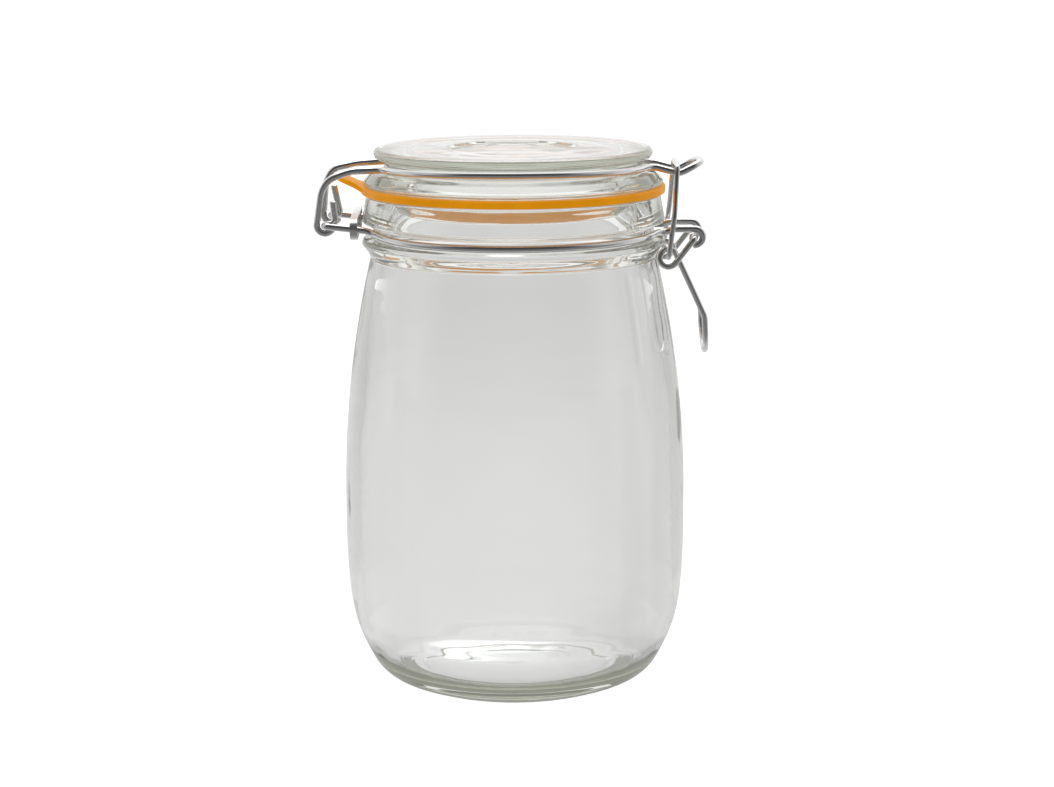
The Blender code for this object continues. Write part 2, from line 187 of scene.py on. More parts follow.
EYE_R = 2.75
HANDLE_Y = 9.5
HANDLE_BOW = Vector((56.0, -HANDLE_Y, 133.2))
HANDLE_BOW_R = 30.0
HANDLE_KNEE = (61.3, -HANDLE_Y, 121.6, 5.0)
HANDLE_BOTTOM_X = 62.0
HANDLE_BOTTOM_Z = 109.3
HANDLE_BOTTOM_R = HANDLE_Y - 0.02       # nearly a half circle
PIN_CORNER_R = 1.6
LINK_TOP_Y = 10.2
LINK_FOOT_Y = 14.9
LINK_PIN_END_Y = 10.8
LINK_TOP_CORNER_R = 2.0
LINK_LEG_BEND = (51.2, -14.2, 155.0, 12.0)

# Camera
CAMERA_PLACE = Vector((4.11, -783.2, 251.6))
CAMERA_PITCH = math.radians(11.326)
CAMERA_ROLL = math.radians(-0.281)
CAMERA_LENS = 83.35
SENSOR = 36.0


def make_camera():
    """The photo's own camera, fitted to the jar's outline."""
    data = bpy.data.cameras.new("camera")
    data.sensor_fit = "HORIZONTAL"
    data.sensor_width = SENSOR
    data.lens = CAMERA_LENS
    camera = bpy.data.objects.new("camera", data)
    tilt = Matrix.Rotation(math.pi / 2 - CAMERA_PITCH, 4, "X")
    roll = Matrix.Rotation(CAMERA_ROLL, 4, "Z")
    camera.matrix_world = Matrix.Translation(CAMERA_PLACE * MM) @ tilt @ roll
    bpy.context.scene.collection.objects.link(camera)
    bpy.context.scene.camera = camera


# Fine relief of a face: grains per metre, layers of detail, strength and depth in metres
GLASS_RELIEF = (55.0, 1.0, 0.05, 0.002)
STEEL_RELIEF = (2600.0, 2.0, 0.12, 0.00004)
RUBBER_RELIEF = (2200.0, 3.0, 0.2, 0.0001)

# Patches: grains per metre and layers of detail
STEEL_PATCHES = (260.0, 3.0)
RUBBER_CLOUDS = (90.0, 4.0)
BAND_LINES = (1.0, 2.0)
BAND_STRETCH = (4000.0, 150.0, 4000.0)      # brushed along y

# Roughness: from and to in the patches, then the roughness at each
STEEL_ROUGHNESS = (0.35, 0.75, 0.10, 0.24)
BAND_ROUGHNESS = (0.3, 0.7, 0.26, 0.42)
RUBBER_ROUGHNESS = 0.42

WHITE = (1.0, 1.0, 1.0, 1.0)
STEEL_COLOUR = (0.77, 0.77, 0.77, 1.0)
BAND_COLOUR = (0.8, 0.8, 0.79, 1.0)

# Glass in its depth, per metre: what it swallows, and the tint and strength of a glow painted into
# it
GLASS_IOR = 1.5
GLASS_TINT = (0.69, 0.715, 0.68, 1.0)
GLASS_DENSITY = 34.0
GLASS_PAINTED_GLOW_TINT = (1.0, 0.985, 0.84, 1.0)
GLASS_PAINTED_GLOW = 4.5

# Rubber: colour at two places in its clouds, how light sinks in, and the strength of a painted glow
# in the rubber's own colour
RUBBER_COLOURS = [(0.3, (0.46, 0.172, 0.001, 1.0)), (0.75, (0.53, 0.205, 0.002, 1.0))]
RUBBER_SHINE = 0.15
RUBBER_SINK = 0.25
RUBBER_SINK_DEPTH = (0.004, 0.0015, 0.0004)
RUBBER_SINK_SCALE = 0.6
RUBBER_PAINTED_GLOW = 0.93


# Nodes
def add(tree, kind, **values):
    """A new node with the given properties."""
    node = tree.nodes.new(kind)
    for key, value in values.items():
        setattr(node, key, value)
    return node


def feed(tree, node, inputs):
    """Set or link inputs: numbers and colours are set, sockets are linked."""
    for key, value in inputs.items():
        socket = node.inputs[key]
        if isinstance(value, bpy.types.NodeSocket):
            tree.links.new(value, socket)
        else:
            socket.default_value = value
    return node


def math_node(tree, operation, a, b=0.0):
    """The result of one sum on numbers."""
    node = add(tree, "ShaderNodeMath", operation=operation)
    feed(tree, node, {0: a, 1: b})
    return node.outputs[0]


def smooth(tree, value, low, high, out_low=0.0, out_high=1.0):
    """value between low and high, eased from out_low to out_high."""
    node = add(tree, "ShaderNodeMapRange", interpolation_type="SMOOTHSTEP")
    feed(tree, node, {
        "Value": value, "From Min": low, "From Max": high,
        "To Min": out_low, "To Max": out_high,
    })
    return node.outputs["Result"]


def vector_node(tree, operation, a, b=None):
    """A node for one sum on vectors."""
    node = add(tree, "ShaderNodeVectorMath", operation=operation)
    return feed(tree, node, {0: a} if b is None else {0: a, 1: b})


def mixed(tree, factor, a, b):
    """The number a where factor is 0, and b where it is 1."""
    node = add(tree, "ShaderNodeMix")
    return feed(tree, node, {"Factor": factor, "A": a, "B": b}).outputs["Result"]


def texture(tree, place, scale, detail):
    """Cloudy noise between 0 and 1."""
    node = add(tree, "ShaderNodeTexNoise")
    return feed(tree, node, {"Vector": place, "Scale": scale, "Detail": detail}).outputs["Fac"]


def relief(tree, place, scale, detail, strength, depth):
    """Normals of a face with a fine relief."""
    height = texture(tree, place, scale, detail)
    node = add(tree, "ShaderNodeBump")
    feed(tree, node, {"Strength": strength, "Distance": depth, "Height": height})
    return node.outputs["Normal"]


def new_material(name):
    """A material, its node tree and its shader."""
    made = bpy.data.materials.new(name)
    made.use_nodes = True
    tree = made.node_tree
    return made, tree, tree.nodes["Principled BSDF"]


def glass_material():
    """Clear pressed glass: faint waves on its faces, and a tint and a painted glow in its depth."""
    made, tree, shader = new_material("clear_glass")
    place = add(tree, "ShaderNodeTexCoord").outputs["Object"]
    feed(tree, shader, {
        "Base Color": WHITE, "Roughness": 0.0, "IOR": GLASS_IOR,
        "Transmission Weight": 1.0, "Normal": relief(tree, place, *GLASS_RELIEF),
    })
    tint = add(tree, "ShaderNodeVolumeAbsorption")
    feed(tree, tint, {"Color": GLASS_TINT, "Density": GLASS_DENSITY})
    # Emission in the glass's depth: a painted warm glow that brightens the glass.
    painted_glow = add(tree, "ShaderNodeEmission")
    feed(tree, painted_glow, {"Color": GLASS_PAINTED_GLOW_TINT, "Strength": GLASS_PAINTED_GLOW})
    both = feed(tree, add(tree, "ShaderNodeAddShader"), {0: tint.outputs[0], 1: painted_glow.outputs[0]})
    tree.links.new(both.outputs[0], tree.nodes["Material Output"].inputs["Volume"])
    return made


def steel_material():
    """Bright plated wire with fine drawing marks and slightly duller patches."""
    made, tree, shader = new_material("steel_wire")
    place = add(tree, "ShaderNodeTexCoord").outputs["Object"]
    feed(tree, shader, {
        "Base Color": STEEL_COLOUR, "Metallic": 1.0,
        "Roughness": smooth(tree, texture(tree, place, *STEEL_PATCHES), *STEEL_ROUGHNESS),
        "Normal": relief(tree, place, *STEEL_RELIEF),
    })
    return made


def rubber_material():
    """Orange rubber with faint clouds of colour, a fine matt skin and a painted glow in its own
    colour.
    """
    made, tree, shader = new_material("orange_rubber")
    place = add(tree, "ShaderNodeTexCoord").outputs["Object"]
    ramp = add(tree, "ShaderNodeValToRGB")
    for element, (position, colour) in zip(ramp.color_ramp.elements, RUBBER_COLOURS):
        element.position = position
        element.color = colour
    tree.links.new(texture(tree, place, *RUBBER_CLOUDS), ramp.inputs["Fac"])
    feed(tree, shader, {
        "Base Color": ramp.outputs["Color"], "Roughness": RUBBER_ROUGHNESS,
        "Normal": relief(tree, place, *RUBBER_RELIEF), "Specular IOR Level": RUBBER_SHINE,
        "Subsurface Weight": RUBBER_SINK, "Subsurface Radius": RUBBER_SINK_DEPTH,
        "Subsurface Scale": RUBBER_SINK_SCALE,
        # The emission paints a glow in the rubber's own colour, so the rubber looks lit however the
        # lamps fall.
        "Emission Color": ramp.outputs["Color"], "Emission Strength": RUBBER_PAINTED_GLOW,
    })
    return made


def band_material():
    """Light grey metal strip, brushed along its length."""
    made, tree, shader = new_material("band_metal")
    place = add(tree, "ShaderNodeTexCoord").outputs["Object"]
    stretch = add(tree, "ShaderNodeMapping")
    feed(tree, stretch, {"Vector": place, "Scale": BAND_STRETCH})
    lines = texture(tree, stretch.outputs["Vector"], *BAND_LINES)
    rough = smooth(tree, lines, *BAND_ROUGHNESS)
    feed(tree, shader, {"Base Color": BAND_COLOUR, "Metallic": 1.0, "Roughness": rough})
    return made


# Outlines
def arc(centre, radius, start, end, step, y=0.0):
    """Points of an arc in the XZ plane, both ends included."""
    count = max(1, math.ceil(abs(end - start) / step - TINY))
    points = []
    for i in range(count + 1):
        angle = start + (end - start) * i / count
        x, z = radius * math.cos(angle), radius * math.sin(angle)
        points.append(Vector((centre.x + x, y, centre.z + z)))
    return points


def plan_arc(centre, radius, start, end, step):
    """Points (x, y) of an arc seen from above, both ends included."""
    count = max(1, math.ceil(abs(end - start) / step - TINY))
    points = []
    for i in range(count + 1):
        angle = start + (end - start) * i / count
        points.append((centre.x + radius * math.cos(angle), centre.y + radius * math.sin(angle)))
    return points


def rounded(corners, step=BEND_STEP):
    """A path through corners (x, y, z, radius), each corner replaced by an arc of its radius."""
    places = [Vector(corner[:3]) for corner in corners]
    points = [places[0]]
    for i in range(1, len(corners) - 1):
        radius = corners[i][3]
        back = (places[i - 1] - places[i]).normalized()
        ahead = (places[i + 1] - places[i]).normalized()
        turn = math.pi - back.angle(ahead)
        if radius == 0.0 or turn < NO_TURN:
            points.append(places[i])
            continue
        reach = radius * math.tan(turn / 2)
        centre = places[i] + (back + ahead).normalized() * (radius / math.cos(turn / 2))
        first = places[i] + back * reach - centre
        axis = (-back).cross(ahead).normalized()
        count = max(1, math.ceil(turn / step - TINY))
        for k in range(count + 1):
            points.append(centre + Matrix.Rotation(turn * k / count, 3, axis) @ first)
    points.append(places[-1])
    return points


def filled(points, longest):
    """The same path with no stretch longer than the given length."""
    path = [points[0]]
    for a, b in zip(points, points[1:]):
        count = max(1, math.ceil((b - a).length / longest))
        path += [a.lerp(b, k / count) for k in range(1, count + 1)]
    return path


def profile(corners):
    """A rounded outline from corners (radius, height, fillet)."""
    return rounded([(r, 0.0, z, fillet) for r, z, fillet in corners], step=PROFILE_STEP)


def smooth_outline(table, steps):
    """A smooth curve up through a table of (radius, height), without overshoot."""
    rises = [b[1] - a[1] for a, b in zip(table, table[1:])]
    slopes = [(b[0] - a[0]) / rise for a, b, rise in zip(table, table[1:], rises)]
    tangents = [slopes[0]]
    for i in range(1, len(slopes)):
        if slopes[i - 1] * slopes[i] <= 0.0:
            tangents.append(0.0)
            continue
        before = 2 * rises[i] + rises[i - 1]
        after = rises[i] + 2 * rises[i - 1]
        tangents.append((before + after) / (before / slopes[i - 1] + after / slopes[i]))
    tangents.append(0.0)
    points = []
    for i, rise in enumerate(rises):
        for k in range(steps):
            t = k / steps
            r = table[i][0] * (2 * t ** 3 - 3 * t ** 2 + 1)
            r += table[i + 1][0] * (3 * t ** 2 - 2 * t ** 3)
            r += rise * tangents[i] * (t ** 3 - 2 * t ** 2 + t)
            r += rise * tangents[i + 1] * (t ** 3 - t ** 2)
            points.append(Vector((r, 0.0, table[i][1] + t * rise)))
    points.append(Vector((table[-1][0], 0.0, table[-1][1])))
    return points


def body_radius(z):
    """Outer radius of the body between belly and shoulder."""
    return BODY_R - SHOULDER_BEND * (z - BELLY_Z) ** 2


def finish_mesh(name, bm, body, node, made):
    """Turn a bmesh in millimetres into a shown piece that stands for a CAD node."""
    bmesh.ops.recalc_face_normals(bm, faces=bm.faces)
    bmesh.ops.transform(bm, matrix=Matrix.Scale(MM, 4), verts=bm.verts)
    mesh = bpy.data.meshes.new(name)
    bm.to_mesh(mesh)
    bm.free()
    mesh.shade_smooth()
    mesh.materials.append(made)
    obj = bpy.data.objects.new(name, mesh)
    bpy.context.scene.collection.objects.link(obj)
    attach(obj, body)
    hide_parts(node)
    return obj


def spin(bm, verts, edges):
    """Turn a section once round the axis."""
    bmesh.ops.spin(
        bm, geom=verts + edges, cent=(0, 0, 0), axis=(0, 0, 1), dvec=(0, 0, 0),
        angle=math.tau, steps=GLASS_SEGMENTS, use_merge=True,
    )


def turn_outline(outline):
    """Turn the outline round the axis, with the slow waves of pressed glass on its faces."""
    bm = bmesh.new()
    verts = [bm.verts.new(point) for point in filled(outline, LONGEST_STRIP)]
    edges = [bm.edges.new(pair) for pair in zip(verts, verts[1:])]
    spin(bm, verts, edges)
    bmesh.ops.remove_doubles(bm, verts=bm.verts, dist=SAME_PLACE)
    bmesh.ops.recalc_face_normals(bm, faces=bm.faces)
    bm.normal_update()
    for vert in bm.verts:
        wave = 0.0
        for height, across, up in WAVES:
            place = Vector((vert.co.x / across, vert.co.y / across, vert.co.z / up))
            wave += height * noise.noise(place)
        vert.co += vert.normal * wave * (1.0 - FLAT_CALM * abs(vert.normal.z))
    return bm


def jar_outline():
    """The jar's outline from the underside's centre, up outside and down inside to the floor's."""
    upper = [
        BELLY_Z + (SHOULDER_Z - BELLY_Z) * i / BODY_STEPS for i in range(1, BODY_STEPS + 1)
    ]
    underside = profile([
        (0.0, PUNT_Z, 0.0),
        (FOOT_INNER_R * 0.5, PUNT_Z * 0.87, 100.0),
        (FOOT_INNER_R - 1.5, PUNT_Z * 0.5, 1.5),
        (FOOT_INNER_R, 0.0, 0.4),
        (HEEL[0][0], 0.0, 0.0),
    ])
    outer = smooth_outline(HEEL, HEEL_STEPS)
    outer += [Vector((body_radius(z), 0.0, z)) for z in upper]
    neck = profile([
        (body_radius(SHOULDER_Z), SHOULDER_Z, 0.0),
        (body_radius(SHOULDER_Z) + 0.3, SHOULDER_Z + 0.4, 0.3),
        (BEAD_R - 1.7, SHOULDER_Z + 1.9, 1.5),
        (BEAD_R, BEAD_Z[0], 1.0),
        (BEAD_R - 0.3, BEAD_Z[1], 0.9),
        (NECK_GROOVE_R, BEAD_Z[1] + 0.4, 0.7),
        (NECK_GROOVE_R, COLLAR_Z - 1.0, 1.0),
        (COLLAR_R, COLLAR_Z, 0.8),
        (RIM_R, RIM_Z, 1.1),
        (BORE_R, RIM_Z, 0.9),
        (BORE_R, SHOULDER_Z + 6.0, 14.0),
        (body_radius(SHOULDER_Z - 5.0) - WALL, SHOULDER_Z - 5.0, 0.0),
    ])
    inner = [
        Vector((body_radius(z) - WALL, 0.0, z)) for z in reversed(upper) if z < INNER_TOP_Z
    ]
    inner += reversed(smooth_outline(INNER_HEEL, INNER_HEEL_STEPS))
    floor = []
    for i in range(1, FLOOR_STEPS + 1):
        share = 1 - i / FLOOR_STEPS
        rise = FLOOR_CROWN * (1 - share ** 2)
        floor.append(Vector((INNER_HEEL[0][0] * share, 0.0, FLOOR_Z + rise)))
    return underside + outer[1:] + neck[1:] + inner + floor


def make_jar(made):
    """The body, with its short ribs under the heel and its mould seam."""
    bm = turn_outline(jar_outline())
    for vert in bm.verts:
        radius = math.hypot(vert.co.x, vert.co.y)
        angle = math.atan2(vert.co.y, vert.co.x)
        if KNURL_R[0] < radius < KNURL_R[1] and vert.co.z < KNURL_TOP:
            segment = round(angle * GLASS_SEGMENTS / math.tau)
            vert.co.z += KNURL_DEPTH * (segment % 2)
        on_seam = abs(angle - SEAM_ANGLE) < math.pi / GLASS_SEGMENTS
        outside = vert.normal.x * vert.co.x + vert.normal.y * vert.co.y > 0.0
        if on_seam and outside and SEAM_Z[0] < vert.co.z < SEAM_Z[1]:
            vert.co += vert.normal * SEAM_HEIGHT
    finish_mesh("jar_body", bm, "jar", "jar_glass", made)


def make_lid(made):
    """The lid: a recessed disc, the wire's groove, a bulge and the plug in the mouth."""
    outline = profile([
        (0.0, LID_TOP_Z - LID_RECESS, 0.0),
        (LID_RECESS_R - 0.7, LID_TOP_Z - LID_RECESS, 0.6),
        (LID_RECESS_R + 0.7, LID_TOP_Z, 0.6),
        (LID_DISC_R, LID_TOP_Z, 1.5),
        (LID_DISC_R, LID_DISC_Z, 1.5),
        (LID_GROOVE_R, LID_DISC_Z - 0.2, 0.6),
        (LID_GROOVE_R, LID_GROOVE_Z, 0.7),
        (LID_BULGE_R - 2.7, LID_GROOVE_Z - 0.8, 2.0),
        (LID_BULGE_R, LID_SEAT_Z + 1.3, 1.2),
        (LID_BULGE_R - 0.3, LID_SEAT_Z, 0.3),
        (LID_PLUG_R, LID_SEAT_Z, 0.3),
        (LID_PLUG_R - 0.1, LID_SEAT_Z - 1.3, 0.5),
        LID_PLUG_BEND,
        (LID_PLUG_TIP_R[1], LID_PLUG_Z, 0.7),
        (LID_PLUG_TIP_R[0], LID_PLUG_Z, 0.7),
        (LID_HOLLOW_R, LID_HOLLOW_Z, 2.5),
        (0.0, LID_HOLLOW_Z, 0.0),
    ])
    finish_mesh("lid_disc", turn_outline(outline), "lid", "lid_glass", made)


def soften(bm, edges, radius):
    """Round off edges."""
    bmesh.ops.bevel(
        bm, geom=edges, offset=radius, segments=EDGE_STEPS, profile=0.5, affect="EDGES",
    )


def make_gasket(made):
    """The flat ring with softly rounded edges, and the tab joined to it."""
    inner, outer = GASKET_R
    low, high = GASKET_Z
    middle = (inner + outer) / 2
    section = profile([
        (middle, low, 0.0),
        (outer, low, GASKET_EDGE_R),
        (outer, high, GASKET_EDGE_R),
        (inner, high, GASKET_EDGE_R),
        (inner, low, GASKET_EDGE_R),
        (middle, low, 0.0),
    ])[:-1]
    bm = bmesh.new()
    verts = [bm.verts.new(point) for point in section]
    edges = [bm.edges.new((verts[i - 1], verts[i])) for i in range(len(verts))]
    spin(bm, verts, edges)
    ring = finish_mesh("gasket_ring", bm, "lid", "gasket", made)
    tab = tab_mesh()
    union = ring.modifiers.new("tab", "BOOLEAN")
    union.operation = "UNION"
    union.solver = "EXACT"
    union.object = tab
    bpy.context.view_layer.update()
    with bpy.context.temp_override(object=ring, active_object=ring):
        bpy.ops.object.modifier_apply(modifier="tab")
    bpy.data.objects.remove(tab)
    ring.data.set_sharp_from_angle(angle=SHARP_ANGLE)


def tab_mesh():
    """The pull tab, flared where it joins the ring."""
    wide = TAB_HALF_WIDTH + TAB_FLARE
    outline = rounded([
        (TAB_ROOT, -wide, 0.0, 0.0),
        (TAB_ROOT - TAB_FLARE, -TAB_HALF_WIDTH, 0.0, TAB_FLARE),
        (-TAB_LENGTH, -TAB_HALF_WIDTH, 0.0, TAB_CORNER_R),
        (-TAB_LENGTH, TAB_HALF_WIDTH, 0.0, TAB_CORNER_R),
        (TAB_ROOT - TAB_FLARE, TAB_HALF_WIDTH, 0.0, TAB_FLARE),
        (TAB_ROOT, wide, 0.0, 0.0),
    ])
    bm = bmesh.new()
    top = bm.faces.new([bm.verts.new(point) for point in outline])
    slab = bmesh.ops.extrude_face_region(bm, geom=[top])
    moved = [item for item in slab["geom"] if isinstance(item, bmesh.types.BMVert)]
    bmesh.ops.translate(bm, verts=moved, vec=(0.0, 0.0, -TAB_THICKNESS))
    rims = [edge for edge in bm.edges if abs(edge.verts[0].co.z - edge.verts[1].co.z) < TINY]
    soften(bm, rims, GASKET_EDGE_R)
    bmesh.ops.recalc_face_normals(bm, faces=bm.faces)
    tilt = Matrix.Translation(TAB_START) @ Matrix.Rotation(TAB_RISE, 4, "Y")
    bmesh.ops.transform(bm, matrix=Matrix.Scale(MM, 4) @ tilt, verts=bm.verts)
    mesh = bpy.data.meshes.new("tab")
    bm.to_mesh(mesh)
    bm.free()
    tab = bpy.data.objects.new("tab", mesh)
    bpy.context.scene.collection.objects.link(tab)
    return tab


# Wires
def tube(name, points, diameter, body, node, made):
    """A round wire along the points, with slightly rounded ends."""
    kept = [
        p for i, p in enumerate(points)
        if i == 0 or (p - points[i - 1]).length > NEAR_POINTS
    ]
    path = filled(kept, LONGEST_WIRE_PIECE)
    radius = diameter / 2
    edge = radius * WIRE_END_ROUND
    tangents = []
    for i in range(len(path)):
        tangents.append((path[min(i + 1, len(path) - 1)] - path[max(i - 1, 0)]).normalized())
    side = tangents[0].orthogonal().normalized()
    bm = bmesh.new()
    rings = []
    for i, (point, tangent) in enumerate(zip(path, tangents)):
        if i:
            side = tangents[i - 1].rotation_difference(tangent) @ side
        side = (side - tangent * side.dot(tangent)).normalized()
        up = tangent.cross(side)
        rings.append((point, side.copy(), up, radius))
    start, end = rings[0], rings[-1]
    rings.insert(0, (start[0], start[1], start[2], radius - edge))
    rings[1] = (start[0] + tangents[0] * edge, start[1], start[2], radius)
    rings.append((end[0], end[1], end[2], radius - edge))
    rings[-2] = (end[0] - tangents[-1] * edge, end[1], end[2], radius)
    loops = []
    for centre, across, up, r in rings:
        loop = []
        for k in range(WIRE_SIDES):
            angle = math.tau * k / WIRE_SIDES
            outward = across * math.cos(angle) + up * math.sin(angle)
            loop.append(bm.verts.new(centre + outward * r))
        loops.append(loop)
    for a, b in zip(loops, loops[1:]):
        for k in range(WIRE_SIDES):
            bm.faces.new((a[k - 1], a[k], b[k], b[k - 1]))
    bm.faces.new(loops[0])
    bm.faces.new(loops[-1])
    obj = finish_mesh(name, bm, body, node, made)
    obj.data.set_sharp_from_angle(angle=WIRE_SHARP_ANGLE)
    return obj


def mirrored(points):
    """The same points on the other side of the plane y = 0, in reverse order."""
    return [Vector((point.x, -point.y, point.z)) for point in reversed(points)]


def tail_fillet(ring_r, tail_y):
    """Distance along x from the ring's centre to the centre of the fillet into its tail."""
    return math.sqrt((ring_r + TAIL_FILLET) ** 2 - (tail_y + TAIL_FILLET) ** 2)


def near_ring(ring_r, hinge_y, clip_y, height):
    """The near half of a ring, from its tail at the hinge to its tail at the clip."""
    hinge_centre = Vector((-tail_fillet(ring_r, hinge_y), -hinge_y - TAIL_FILLET))
    clip_centre = Vector((tail_fillet(ring_r, clip_y), -clip_y - TAIL_FILLET))
    hinge_angle = math.atan2(hinge_centre.y, hinge_centre.x)
    clip_angle = math.atan2(clip_centre.y, clip_centre.x)
    plan = []
    plan += plan_arc(hinge_centre, TAIL_FILLET, math.pi / 2, hinge_angle + math.pi, BEND_STEP)
    plan += plan_arc(Vector((0.0, 0.0)), ring_r, hinge_angle, clip_angle, RING_STEP)[1:-1]
    plan += plan_arc(clip_centre, TAIL_FILLET, clip_angle + math.pi, math.pi / 2, BEND_STEP)
    return [Vector((x, y, height(x))) for x, y in plan]


def make_lid_wire(made):
    """The wire round the lid: hooks at the hinge and a tongue at the clip."""
    hook = arc(HINGE_AXIS, HOOK_R, HOOK_END, -math.pi, BEND_STEP, y=-HINGE_LEG_Y)
    ring = near_ring(
        LID_RING_R, HINGE_LEG_Y, TONGUE_Y,
        lambda x: LID_RING_Z - LID_RING_DROP * (x / LID_RING_R) ** 2,
    )
    legs = {}
    for side, bends in LEG_BENDS.items():
        corners = [(x, -HINGE_LEG_Y, z, radius) for x, z, radius in bends]
        legs[side] = rounded([(*hook[-1], 0.0), *corners, (*ring[0], 0.0)])[1:-1]
    bend_x, bend_z, bend_r = TONGUE_BEND
    tongue = rounded([
        (*ring[-1], 0.0),
        (bend_x, -TONGUE_Y, bend_z, bend_r),
        (TONGUE_X, -TONGUE_Y, TONGUE_Z, TONGUE_CORNER_R),
        (TONGUE_X, 0.0, TONGUE_Z, 0.0),
    ])[1:-1]
    near = hook + legs["near"] + ring + tongue
    far = mirrored(hook + legs["far"] + ring + tongue)
    tube("lid_bail", near + far, FRAME_WIRE, "lid", "lid_wire", made)


def neck_height(x):
    """Height of the neck wire, which climbs towards its tails."""
    rise = NECK_RISE_HINGE if x < 0 else NECK_RISE_CLIP
    return NECK_RING_Z + rise * (x / NECK_RING_R) ** NECK_RISE_POWER


def make_neck_wire(side, made):
    """One half of the neck wire, from its post at the hinge to its curl at the clip."""
    post_x, post_z = POST_TOP[side]
    bend_x, bend_z, bend_r = NECK_HINGE_BEND
    ring = near_ring(NECK_RING_R, NECK_HINGE_Y, NECK_CLIP_Y, neck_height)
    hairpin = rounded([
        (post_x, -HAIRPIN_Y, post_z, 0.0),
        (POST_X, -HAIRPIN_Y, HINGE_AXIS.z, HAIRPIN_R),
        (HINGE_AXIS.x, -HAIRPIN_Y, HINGE_AXIS.z, HAIRPIN_R),
        (HINGE_AXIS.x, -NECK_HINGE_Y, HINGE_AXIS.z, HAIRPIN_R),
        (bend_x, -NECK_HINGE_Y, bend_z, bend_r),
        (*ring[0], 0.0),
    ])
    curl = arc(LEVER_AXIS, CURL_R, math.pi / 2, CURL_END, BEND_STEP, y=-NECK_CLIP_Y)
    tail = rounded([
        (*ring[-1], 0.0),
        (NECK_CLIP_BEND_X, -NECK_CLIP_Y, curl[0].z, NECK_CLIP_BEND_R),
        (*curl[0], 0.0),
    ])
    points = hairpin[:-1] + ring + tail[1:-1] + curl
    if side == "far":
        points = mirrored(points)
    tube("neck_bail_" + side, points, FRAME_WIRE, "jar", "neck_wire_" + side, made)


def tangent_angle(centre, radius, point, side):
    """Angle on the circle where a line from the point touches it. side is +1 or -1."""
    away = point - centre
    return math.atan2(away.z, away.x) + side * math.acos(radius / math.hypot(away.x, away.z))


def make_lever(made):
    """The handle: a pin, an arm and an eye on each side, and the long loop below."""
    eye_in = tangent_angle(EYE_CENTRE, EYE_R, LEVER_AXIS, -1)
    eye_out = tangent_angle(EYE_CENTRE, EYE_R, HANDLE_BOW, 1) - math.tau
    eye = arc(EYE_CENTRE, EYE_R, eye_in, eye_out, BEND_STEP)
    for i, point in enumerate(eye):
        point.y = -ARM_Y + (ARM_Y - HANDLE_Y) * i / (len(eye) - 1)
    arm = rounded([
        (LEVER_AXIS.x, -PIN_END_Y, LEVER_AXIS.z, 0.0),
        (LEVER_AXIS.x, -ARM_Y, LEVER_AXIS.z, PIN_CORNER_R),
        (*eye[0], 0.0),
    ])
    handle = rounded([
        (*eye[-1], 0.0),
        (*HANDLE_BOW, HANDLE_BOW_R),
        HANDLE_KNEE,
        (HANDLE_BOTTOM_X, -HANDLE_Y, HANDLE_BOTTOM_Z, HANDLE_BOTTOM_R),
        (HANDLE_BOTTOM_X, 0.0, HANDLE_BOTTOM_Z, 0.0),
    ])
    near = arm[:-1] + eye + handle[1:-1]
    points = near + mirrored(near)
    tube("lever_handle", points, LEVER_WIRE, "lever", "lever_wire", made)


def make_link(made):
    """The loop from the lever's eyes over the lid wire's tongue."""
    near = rounded([
        (LINK_AXIS.x, -LINK_PIN_END_Y, LINK_AXIS.z, 0.0),
        (LINK_AXIS.x, -LINK_FOOT_Y, LINK_AXIS.z, PIN_CORNER_R),
        LINK_LEG_BEND,
        (LINK_BAR.x, -LINK_TOP_Y, LINK_BAR.z, LINK_TOP_CORNER_R),
        (LINK_BAR.x, 0.0, LINK_BAR.z, 0.0),
    ])[:-1]
    tube("link_loop", near + mirrored(near), LINK_WIRE, "link", "link_wire", made)


def make_band(made):
    """A flat strip bent round both tails of the neck wires, with softened edges."""
    bm = bmesh.new()
    loops = []
    for inset in (0.0, BAND_WALL):
        half_y = BAND_HALF_WIDTH - inset
        half_z = BAND_HEIGHT / 2 - inset
        corner_r = half_z - BAND_END_FLAT
        outline = rounded([
            (0.0, 0.0, half_z, 0.0),
            (0.0, half_y, half_z, corner_r),
            (0.0, half_y, -half_z, corner_r),
            (0.0, -half_y, -half_z, corner_r),
            (0.0, -half_y, half_z, corner_r),
            (0.0, 0.0, half_z, 0.0),
        ])[:-1]
        for offset in (-BAND_WIDTH / 2, BAND_WIDTH / 2):
            ring = [
                Vector((BAND_X + offset + BAND_SKEW * y, y, BAND_Z + z)) for _, y, z in outline
            ]
            loops.append([bm.verts.new(point) for point in ring])
    outer_left, outer_right, inner_left, inner_right = loops
    rim = len(outer_left)
    for a, b in ((outer_left, outer_right), (outer_right, inner_right),
                 (inner_right, inner_left), (inner_left, outer_left)):
        for i in range(rim):
            bm.faces.new((a[i - 1], a[i], b[i], b[i - 1]))
    edges = [
        edge for edge in bm.edges
        if len(edge.link_faces) == 2 and edge.calc_face_angle(0.0) > BAND_EDGE_ANGLE
    ]
    soften(bm, edges, BAND_EDGE_R)
    obj = finish_mesh("band_strip", bm, "jar", "hinge_band", made)
    obj.data.set_sharp_from_angle(angle=SHARP_ANGLE)


